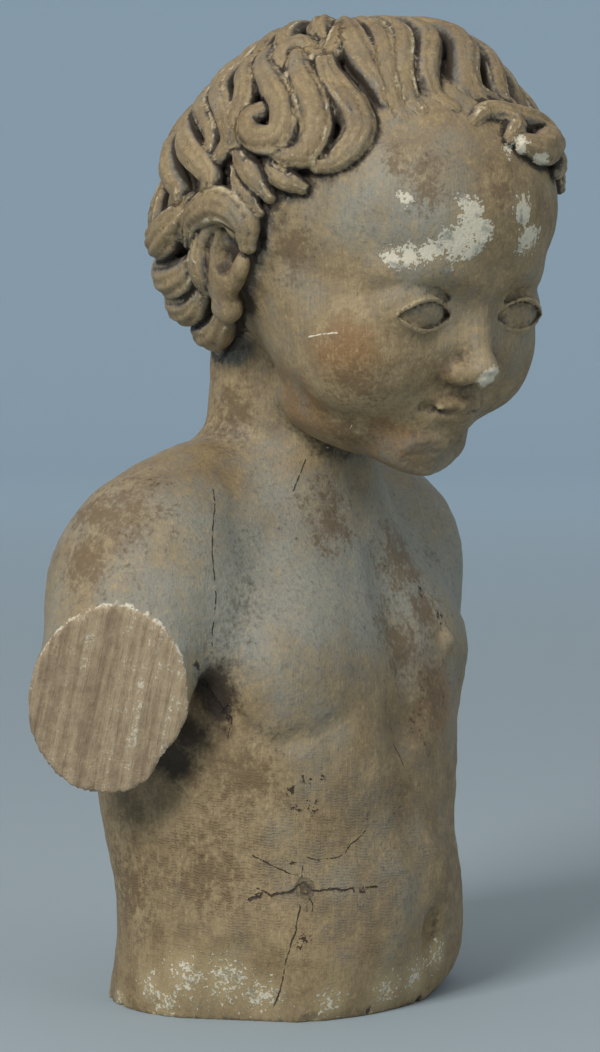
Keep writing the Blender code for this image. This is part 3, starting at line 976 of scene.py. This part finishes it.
# Cracks in the belly round the knot, at the root of the neck, down the chest and in the armpit
CRACKS = (
    (((248, 900), (258, 897), (268, 898), (279, 893), (290, 893), (300, 890)), 0.8),
    (((256, 888), (264, 891), (276, 891), (290, 892)), 0.35),
    (((309, 890), (322, 891), (337, 889), (346, 890), (358, 887), (379, 887)), 0.6),
    (((337, 890), (350, 895), (366, 892)), 0.3),
    (((304, 884), (301, 874), (303, 866)), 0.3),
    (((308, 894), (313, 904), (312, 912)), 0.3),
    (((299, 885), (292, 877), (290, 873), (273, 866), (252, 855)), 0.4),
    (((367, 829), (359, 838), (351, 844), (345, 853), (338, 858)), 0.35),
    (((338, 858), (330, 858), (322, 861), (304, 857)), 0.3),
    (((302, 897), (299, 914), (295, 934), (289, 948), (286, 962), (280, 992), (273, 1008)), 0.4),
    (((306, 459), (300, 474), (293, 492)), 0.4),
    (((213, 488), (215, 508), (213, 526), (212, 545), (213, 565), (216, 599), (213, 625),
     (212, 655)), 0.45),
    (((196, 662), (201, 680), (211, 698), (224, 712)), 1.6),
    (((226, 702), (230, 709), (232, 718), (228, 738)), 0.25),
    (((392, 742), (399, 754), (405, 770)), 0.35),
)
KNOT = (305, 889, 5.0)
# Clusters of dark pits, patches and flecks of white ground, white scratches, warm stains, painted
# shadow in the armpit, down the sawn arm's underside and in the ear's hollow, and dark mottles, some
# of them painted shade in the armpit and on the side of the chest turned from the light
PITS = (
    (312, 806, 4), (294, 811, 3), (306, 778, 4), (324, 776, 4), (291, 790, 3), (303, 943, 5),
    (292, 862, 3), (440, 618, 6), (420, 590, 5),
)
WHITE_PATCHES = (
    (470, 216, 9), (462, 242, 11), (480, 232, 7), (524, 208, 8), (530, 238, 9), (392, 257, 5),
    (410, 255, 6), (430, 252, 6), (405, 198, 4), (522, 146, 5), (541, 160, 5), (508, 150, 4),
)
FLECKS = (
    (150, 985, 12), (185, 978, 16), (225, 980, 18), (262, 996, 14), (165, 1004, 12),
    (330, 1004, 12), (385, 990, 14), (415, 975, 14), (437, 955, 12), (120, 1000, 8),
)
SCRATCHES = (
    (((308, 337), (322, 334), (337, 333)), 0.55),
    (((313, 439), (328, 448)), 0.35),
    (((345, 440), (352, 425)), 0.3),
)
STAINS = (
    (372, 455, 16), (404, 452, 16), (385, 425, 10), (300, 400, 24), (345, 350, 18), (440, 700, 20),
)
# painted shadow in the armpit, down the sawn arm's underside and in the ear's hollow
PAINTED_SHADOW_SPOTS = (
    (203, 683, 15), (214, 702, 12), (190, 728, 11), (178, 765, 9), (232, 250, 7), (226, 268, 6),
)
# dark mottles; those in the armpit, below the sawn arm and on the side of the chest turned from the
# light are painted shade
DARK_PATCHES = (
    (422, 180, 15), (398, 162, 10), (500, 190, 12), (345, 432, 14), (352, 380, 16), (395, 640, 22),
    (330, 520, 20), (250, 780, 20), (210, 870, 22), (110, 515, 30), (85, 560, 20), (400, 560, 26),
    (425, 610, 20), (430, 690, 22), (240, 410, 20), (130, 890, 24), (215, 700, 16), (185, 770, 14),
    (290, 250, 16),
)


def near_points(points, marks):
    """One on the nearest of some points, nought at that one's reach and less beyond."""
    best = np.full(len(points), np.float32(-9))
    for (*_, reach), place in zip(marks, on_skin([pixel for *pixel, _ in marks])):
        best = np.maximum(best, 1 - length(points - place) / reach)
    return best


# Farther from a path than this, in parts, the mesh is too coarse to hold the way to it
TRUSTED = 2.0


def ways_to_paths(points, marks):
    """The way to the nearest place on some paths, over that path's half width: with h the share
    of a stretch that is passed, held from 0 to 1, the place is start + h (end - start). With it
    how far a point is past the trusted reach, over the half width."""
    best = np.full((len(points), 3), 1e3, np.float32)
    past = np.full(len(points), np.float32(1e3))
    corners = iter(on_skin([pixel for path, _ in marks for pixel in path]))
    for path, width in marks:
        course = [next(corners) for _ in path]
        for start, end in zip(course, course[1:]):
            line = end - start
            passed = np.clip((points - start) @ line / (line @ line), 0, 1)
            way = points - start - passed[:, None] * line
            far = length(way)
            nearer = far / width < length(best)
            best[nearer] = way[nearer] / width
            past[nearer] = (far[nearer] - TRUSTED) / width
    return best, past


def near_share(points, middle, reach, tall=1):
    """One at a point, falling off as a bell over a reach, which may be longer upright."""
    offset = (points - np.float32(middle)) / np.float32((1, 1, tall))
    return np.exp(-(length(offset) / reach) ** 2)


def tones(points, out):
    """Slow changes over the skin, each about nought: how grey with dust and how dark with age.
    Dust lies on the shoulders and the upper chest and on what faces up; age on the belly's
    flank, the neck and below the ears."""
    place = to_head(points)
    before = np.clip(0.7 - points[:, 1] / 60, 0.35, 1)
    chest = before * np.exp(-(((points[:, 2] - 178) / 46) ** 2)) - 0.35
    brow = near_share(place, (-35, -60, 22), 32)
    flank = near_share(points, (-88, 10, 70), 45, 2)
    front = near_share(points, (10, -70, 120), 50, 2)
    belly = near_share(points, (-15, -66, 70), 28)
    slow = 0.55 * SLOW_TONE(points) + 0.35 * MID_TONE(points)
    dust = 0.60 * chest + 0.35 * brow + 0.20 * belly + 0.05 * out[:, 2]
    dust = dust - 0.25 * flank - 0.1 * front + 0.40 * slow
    age = 0.40 * front + 0.20 * flank + 0.45 * OTHER_TONE(points) + 0.25 * MID_TONE(points + 50)
    return dust, age


SLOW_TONE = Ripple(7, 46.0)
MID_TONE = Ripple(8, 17.0)
OTHER_TONE = Ripple(9, 34.0)


# Old wood


class Recipe:
    """Puts a material's nodes together. A number, a colour or another node's output can go into
    any input; everything is read at the bust's own place, in metres."""

    def __init__(self, name):
        self.material = bpy.data.materials.new(name)
        self.material.use_nodes = True
        self.nodes = self.material.node_tree.nodes
        self.links = self.material.node_tree.links
        self.shader = self.nodes["Principled BSDF"]
        self.place = self.nodes.new("ShaderNodeTexCoord").outputs["Object"]

    def put(self, socket, value):
        if isinstance(value, bpy.types.NodeSocket):
            self.links.new(value, socket)
        elif socket.type == "RGBA":
            socket.default_value = (*value, 1)
        else:
            socket.default_value = value

    def combine(self, operation, values):
        """Sum, product or greatest of two or more values, taken in turn."""
        total = values[0]
        for value in values[1:]:
            node = self.nodes.new("ShaderNodeMath")
            node.operation = operation
            self.put(node.inputs[0], total)
            self.put(node.inputs[1], value)
            total = node.outputs[0]
        return total

    def add(self, *values):
        return self.combine("ADD", values)

    def times(self, *values):
        return self.combine("MULTIPLY", values)

    def most(self, *values):
        return self.combine("MAXIMUM", values)

    def less(self, *values):
        return self.combine("SUBTRACT", values)

    def wave(self, angle):
        """The sine of an angle."""
        return self.combine("SINE", (angle, 0))

    def vector(self, operation, *values, output="Vector"):
        node = self.nodes.new("ShaderNodeVectorMath")
        node.operation = operation
        for socket, value in zip(node.inputs, values):
            self.put(socket, value)
        return node.outputs[output]

    def measure(self, name, output="Fac"):
        """A number or a way that the skin's points hold."""
        node = self.nodes.new("ShaderNodeAttribute")
        node.attribute_name = name
        return node.outputs[output]

    def nearness(self, name, wander, amount):
        """One on a line, nought at its edge and less beyond, with the way to it bent a little."""
        bent = self.vector("MULTIPLY", wander, (amount,) * 3)
        way = self.vector("ADD", self.measure("to_" + name, "Vector"), bent)
        far = self.vector("LENGTH", way, output="Value")
        return self.less(1, self.most(far, self.measure("by_" + name)))

    def line(self, direction, place=None):
        """How far the place is along a direction, times its length."""
        return self.vector("DOT_PRODUCT", place or self.place, direction, output="Value")

    def noise(self, size, detail, roughness, stretch=(1, 1, 1), output="Fac", place=None):
        """Cloudy noise whose clouds are about the size in metres, longer along the stretch."""
        node = self.nodes.new("ShaderNodeTexNoise")
        scale = [1 / (size * part) for part in stretch]
        self.put(node.inputs["Vector"], self.vector("MULTIPLY", place or self.place, scale))
        node.inputs["Scale"].default_value = 1
        node.inputs["Detail"].default_value = detail
        node.inputs["Roughness"].default_value = roughness
        return node.outputs[output]

    def window(self, value, low, high, start=0.0, end=1.0):
        """Goes smoothly from start to end as the value goes from low to high."""
        node = self.nodes.new("ShaderNodeMapRange")
        node.interpolation_type = "SMOOTHSTEP"
        for socket, item in zip(node.inputs, (value, low, high, start, end)):
            self.put(socket, item)
        return node.outputs[0]

    def mix(self, share, one, other):
        node = self.nodes.new("ShaderNodeMix")
        node.data_type = "RGBA"
        sockets = (node.inputs[0], node.inputs[6], node.inputs[7])
        for socket, value in zip(sockets, (share, one, other)):
            self.put(socket, value)
        return node.outputs[2]

    def bump(self, height):
        """Relief from a height in parts."""
        node = self.nodes.new("ShaderNodeBump")
        node.inputs["Distance"].default_value = PART
        node.inputs["Strength"].default_value = 1
        self.put(node.inputs["Height"], height)
        self.put(self.shader.inputs["Normal"], node.outputs[0])


def color_prop(name, description, color):
    return FloatVectorProperty(name=name, description=description, default=color, subtype="COLOR")


class WoodFinish(PropertyGroup):
    light_wood: color_prop("Light Wood", "Worn brown of the carved skin", (0.330, 0.239, 0.124))
    dark_wood: color_prop("Dark Wood", "Brown of the older patina", (0.160, 0.101, 0.047))
    dust: color_prop("Dust", "Grey of dust and of thin ground left on the wood", (0.272, 0.274, 0.232))
    hollow_dust: color_prop("Hollow Dust", "Cool grey dust in the wide hollows", (0.150, 0.152, 0.135))
    # near black of soil, cracks and pits, and of painted shade in the hollows and the armpit's painted
    # shadow
    grime_and_shade: color_prop("Grime", "Near black of the hollows and spots", (0.034, 0.022, 0.013))
    rubbed: color_prop("Rubbed Edges", "Straw colour of rubbed edges", (0.470, 0.360, 0.190))
    ground: color_prop("White Ground", "White of the chalk ground that is left", (0.680, 0.605, 0.455))
    warm: color_prop("Warm Stain", "Golden brown of the stains", (0.240, 0.125, 0.045))
    raw_wood: color_prop("Raw Wood", "Pale wood of the sawn arm", (0.420, 0.310, 0.190))
    raw_dark: color_prop("Raw Grain", "Darker lines in the sawn arm", (0.262, 0.182, 0.108))


# The way across the fine lines of the belly, in radians a metre
BELLY_LINES = (500.0, -300.0, 5200.0)


def old_wood(look):
    """Carved wood with an old patina: brown under grey dust, dark in its hollows with soil and painted
    shade, rubbed on its crests, with remains of white ground, stains, cracks round a knot and pale
    sawn ends."""
    recipe = Recipe(SLOT)
    add, times, most, less = recipe.add, recipe.times, recipe.most, recipe.less
    window, mix, measure = recipe.window, recipe.mix, recipe.measure
    hair, raw, crest = measure("hair"), measure("raw"), measure("crest")

    blotch = less(recipe.noise(0.0075, 6, 0.70), 0.5)
    speck = less(recipe.noise(0.0021, 4, 0.68), 0.5)
    dot = less(recipe.noise(0.0011, 2, 0.6), 0.5)
    fibre = less(recipe.noise(0.0006, 2, 0.5, stretch=(1, 1, 24)), 0.5)
    streak = less(recipe.noise(0.0035, 4, 0.65, stretch=(1, 1, 5)), 0.5)
    wander = recipe.vector("SUBTRACT", recipe.noise(0.005, 4, 0.7, output="Color"), (0.5, 0.5, 0.5))
    cracks = recipe.nearness("crack", wander, 4.5)
    scratches = recipe.nearness("scratch", wander, 2.0)
    bare = less(1, hair)

    age = add(times(measure("age"), 0.30), times(blotch, 0.9), times(streak, 0.35), -0.03)
    color = mix(window(age, -0.34, 0.42), look.light_wood, look.dark_wood)
    stains = add(measure("stain"), times(blotch, 1.6))
    color = mix(window(stains, -0.1, 0.75, 0, 0.85), color, look.warm)
    dust = add(measure("dust"), times(blotch, 1.1), times(speck, 0.8), times(hair, -0.10))
    color = mix(window(dust, -0.36, 0.55, 0, 0.85), color, look.dust)
    hollow = add(measure("wide"), times(blotch, 1.2), times(speck, 0.6))
    color = mix(times(window(hollow, 0.12, 0.60, 0, 0.8), hair), color, look.hollow_dust)

    fine = add(times(speck, 0.8), times(fibre, 0.35), times(dot, 0.3), times(blotch, 0.25))
    color = mix(window(fine, -0.04, 0.28, 0, 0.72), color, look.dark_wood)
    color = mix(window(fine, 0.0, -0.28, 0, 0.50), color, look.rubbed)
    # dark mottles, some of them painted shade in the armpit and on the side of the chest turned from
    # the light
    dark = add(measure("dark"), times(blotch, 3.0), times(speck, 2.2))
    color = mix(window(dark, 0.15, 0.95, 0, 0.80), color, look.dark_wood)
    aged = add(measure("age"), times(blotch, 2.0), times(speck, 3.4))
    color = mix(window(aged, 0.95, 1.35, 0, 0.6), color, look.grime_and_shade)

    rub = add(crest, times(blotch, 0.8), times(speck, 0.9), times(hair, 0.26))
    color = mix(window(rub, 0.48, 0.72, 0, 0.80), color, look.rubbed)
    color = mix(times(window(rub, 0.64, 0.84, 0, 0.65), hair), color, look.ground)

    across = add(times(measure("strand"), 9.0), times(blotch, 12.0), times(speck, 6.0))
    strands = times(recipe.wave(across), hair)
    color = mix(window(strands, 0.45, 1.0, 0, 0.28), color, look.dark_wood)
    pale = times(window(strands, -0.30, -0.95), window(add(crest, blotch), 0.10, 0.45))
    color = mix(times(pale, 0.7), color, mix(window(speck, -0.08, 0.10), look.rubbed, look.ground))

    # soil and painted shade: near black in the hollows and in the painted shadow of the armpit
    dirt_and_shade = add(measure("grime_and_shade"), times(blotch, 0.5), times(speck, 0.5))
    color = mix(window(dirt_and_shade, 0.16, 0.66, 0, 0.93), color, look.grime_and_shade)

    torn = add(times(blotch, 2.4), times(speck, 1.8), times(dot, 0.8))
    chalk = window(add(measure("patch"), torn), 0.22, 0.36)
    color = mix(window(add(measure("fleck"), blotch), -0.1, 0.9, 0, 0.6), color, look.rubbed)
    flecks = add(measure("fleck"), times(dot, 2.0), times(speck, 3.6), times(blotch, 1.2))
    line_chalk = window(add(scratches, times(speck, 2.0)), 0.25, 0.5)
    tip = window(add(measure("chip"), times(speck, 1.2)), 0.05, 0.30)
    chalk = most(most(chalk, tip), window(flecks, 0.80, 0.95), line_chalk)
    color = mix(times(chalk, 0.9), color, mix(window(blotch, 0.04, 0.20), look.ground, look.dust))

    flat = recipe.nodes.new("ShaderNodeCombineXYZ")
    recipe.put(flat.inputs[0], recipe.line(SAW_ACROSS.tolist()))
    recipe.put(flat.inputs[1], times(recipe.line(SAW_WAY.tolist()), 0.06))
    saw = less(recipe.noise(0.0060, 7, 0.70, place=flat.outputs[0]), 0.5)
    sawn = mix(window(add(saw, times(blotch, 0.5)), 0.10, -0.14), look.raw_wood, look.raw_dark)
    white = add(saw, times(blotch, 0.7), times(dot, 0.5))
    sawn = mix(window(white, 0.14, 0.20, 0, 0.75), sawn, look.ground)
    sawn = mix(window(add(blotch, times(speck, 0.5)), 0.09, 0.22, 0, 0.55), sawn, look.dark_wood)
    color = mix(window(raw, 0.35, 0.65), color, sawn)
    edge = window(add(times(blotch, 1.5), times(speck, 1.6)), -0.06, 0.10)
    rim = times(window(raw, 0.01, 0.30), window(raw, 0.99, 0.60), edge)
    color = mix(times(rim, 0.9), color, look.ground)

    rise = recipe.line(BELLY_LINES)
    strokes = recipe.wave(add(rise, times(blotch, 30.0)))
    strokes = times(strokes, measure("belly"), window(add(blotch, speck), -0.12, 0.12))
    color = mix(window(strokes, 0.25, 1.0, 0, 0.22), color, look.dark_wood)

    knot = add(measure("knot"), times(blotch, 0.8))
    ring = recipe.wave(times(knot, 14.0))
    knot_dark = times(window(knot, 0.0, 0.35), window(ring, -0.6, 0.9, 0.45, 1.0))
    pits = window(add(measure("pit"), times(speck, 3.6), times(dot, 1.6)), 0.68, 0.90)
    split = most(window(cracks, 0.05, 0.60), pits, times(knot_dark, 0.75))
    color = mix(times(split, 0.93), color, look.grime_and_shade)
    recipe.put(recipe.shader.inputs["Base Color"], color)

    recipe.put(recipe.shader.inputs["Roughness"], add(0.60, times(blotch, 0.3), times(chalk, 0.25)))
    recipe.shader.inputs["Specular IOR Level"].default_value = 0.35

    relief = add(times(fibre, 0.10), times(speck, 0.34), times(blotch, 0.70), times(strokes, 0.08))
    relief = add(relief, times(strands, -0.10), times(split, -0.9), times(saw, raw, 2.0))
    relief = add(relief, times(chalk, 0.12))
    recipe.bump(times(relief, add(0.7, times(bare, 0.3))))
    return recipe.material


class BustCarving(PropertyGroup):
    cell: FloatProperty(
        name="Cell",
        description="Cell of the grid that the skin is read from",
        default=0.0012,
        min=0.0008,
        unit="LENGTH",
    )
    most_faces: IntProperty(
        name="Most Faces",
        description="The three-sided faces that the finished skin may have",
        default=196000,
        min=10000,
    )


class BUST_OT_carving(Operator):
    """Carves the bust as one skin, in the place of the plain solid"""

    bl_idname = "mesh.bust_carving"
    bl_label = "Carve the Bust"

    def execute(self, context):
        settings = context.scene.bust_carving
        cell = settings.cell / PART
        low, high = (np.array(corner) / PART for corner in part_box(NODE))
        low, high = low - 6, high + 6
        grid = sampled_grid(bust_distance, low, high, cell)
        points, faces = skin_of(grid, low, cell)
        share = min(1, settings.most_faces / (2 * len(faces)))
        mesh = thinned("bust", points, faces, share)
        points = settled(bust_distance, read_points(mesh), 2, 0.25)
        measure_skin(mesh, points)
        inside = np.clip(points * PART, *(np.float32(corner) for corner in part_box(NODE)))
        mesh.vertices.foreach_set("co", inside.ravel())
        mesh.update()
        mesh.shade_smooth()
        mesh.materials.append(old_wood(context.scene.wood_finish))
        bust = add_object("bust", mesh)
        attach(bust, "root")
        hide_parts(NODE)
        return {"FINISHED"}


class StudioLook(PropertyGroup):
    floor_color: FloatVectorProperty(
        name="Floor Colour",
        description="Colour of the floor by the bust",
        default=(0.34, 0.40, 0.43),
        subtype="COLOR",
    )
    sweep_color: FloatVectorProperty(
        name="Sweep Colour",
        description="Colour of the sweep far behind",
        default=(0.52, 0.66, 0.77),
        subtype="COLOR",
    )
    key_power: FloatProperty(
        name="Key Light",
        description="Power of the soft key light",
        default=92.0,
        unit="POWER",
    )


def sweep_mesh():
    """The floor and its rising rim: a flat disc whose profile turns up along a quarter circle,
    carried round the upright axis."""
    turns = np.linspace(0, 2 * math.pi, 96, endpoint=False)
    bend = np.linspace(0, math.pi / 2, 12)
    reach = np.concatenate([np.linspace(0.02, 5.0, 14), 5.0 + 2.5 * np.sin(bend)[1:], [7.5]])
    height = np.concatenate([np.zeros(14), 2.5 * (1 - np.cos(bend))[1:], [6.0]])
    points = np.stack(
        [
            np.outer(reach, np.cos(turns)),
            np.outer(reach, np.sin(turns)),
            np.repeat(height[:, None], len(turns), axis=1),
        ],
        axis=-1,
    ).reshape(-1, 3)
    ring, spoke = np.meshgrid(np.arange(len(reach) - 1), np.arange(len(turns)), indexing="ij")
    after = (spoke + 1) % len(turns)
    width = len(turns)
    quads = np.stack(
        [
            ring * width + spoke,
            (ring + 1) * width + spoke,
            (ring + 1) * width + after,
            ring * width + after,
        ],
        axis=-1,
    ).reshape(-1, 4)
    return mesh_from("floor", points, quads)


class BUST_OT_studio(Operator):
    """Sets up the pale floor, the soft lights and the camera"""

    bl_idname = "scene.bust_studio"
    bl_label = "Set Up the Studio"

    def execute(self, context):
        look = context.scene.studio_look
        floor = add_object("floor", sweep_mesh())
        paint = Recipe("floor_paint")
        reach = paint.vector("LENGTH", paint.place, output="Value")
        far = paint.window(reach, 0.4, 4.5)
        color = paint.mix(far, tuple(look.floor_color), tuple(look.sweep_color))
        paint.put(paint.shader.inputs["Base Color"], color)
        paint.shader.inputs["Roughness"].default_value = 0.8
        floor.data.materials.append(paint.material)

        world = bpy.data.worlds.new("studio")
        context.scene.world = world
        world.use_nodes = True
        sky = world.node_tree.nodes["Background"]
        sky.inputs["Color"].default_value = (0.88, 0.86, 0.83, 1)
        sky.inputs["Strength"].default_value = 0.62

        for name, place, size, power in (
            ("key", (-2.9, -0.1, 2.1), 1.2, look.key_power),
            ("fill", (-0.3, -2.4, 0.9), 1.6, look.key_power * 0.09),
        ):
            lamp = bpy.data.lights.new(name, "AREA")
            lamp.energy = power
            lamp.size = size
            light = bpy.data.objects.new(name, lamp)
            context.scene.collection.objects.link(light)
            light.location = place
            way = Vector((0, 0, 0.22)) - Vector(place)
            light.rotation_euler = way.to_track_quat("-Z", "Y").to_euler()

        context.scene.view_settings.view_transform = "Standard"
        camera = bpy.data.objects.new("camera", bpy.data.cameras.new("camera"))
        context.scene.collection.objects.link(camera)
        turn = Matrix(CAMERA_AXES.T.tolist()).to_4x4()
        camera.matrix_world = Matrix.Translation(Vector(CAMERA_PLACE)) @ turn
        camera.data.sensor_width = SENSOR
        camera.data.lens = FOCAL_PIXELS / PICTURE_SIZE[1] * SENSOR
        context.scene.camera = camera
        return {"FINISHED"}


class BUST_PT_panel(Panel):
    bl_idname = "BUST_PT_panel"
    bl_label = "Carved Bust"
    bl_space_type = "VIEW_3D"
    bl_region_type = "UI"
    bl_category = "Bust"

    def draw(self, context):
        layout = self.layout
        layout.prop(context.scene.bust_carving, "cell")
        layout.prop(context.scene.bust_carving, "most_faces")
        layout.operator(BUST_OT_carving.bl_idname)
        layout.prop(context.scene.studio_look, "floor_color")
        layout.prop(context.scene.studio_look, "key_power")
        layout.operator(BUST_OT_studio.bl_idname)


CLASSES = (BustCarving, WoodFinish, StudioLook, BUST_OT_carving, BUST_OT_studio, BUST_PT_panel)


def register():
    for cls in CLASSES:
        bpy.utils.register_class(cls)
    bpy.types.Scene.bust_carving = PointerProperty(type=BustCarving)
    bpy.types.Scene.wood_finish = PointerProperty(type=WoodFinish)
    bpy.types.Scene.studio_look = PointerProperty(type=StudioLook)


def unregister():
    del bpy.types.Scene.studio_look
    del bpy.types.Scene.wood_finish
    del bpy.types.Scene.bust_carving
    for cls in reversed(CLASSES):
        bpy.utils.unregister_class(cls)


def main():
    register()
    bpy.ops.mesh.bust_carving()
    bpy.ops.scene.bust_studio()


if __name__ == "__main__":
    main()
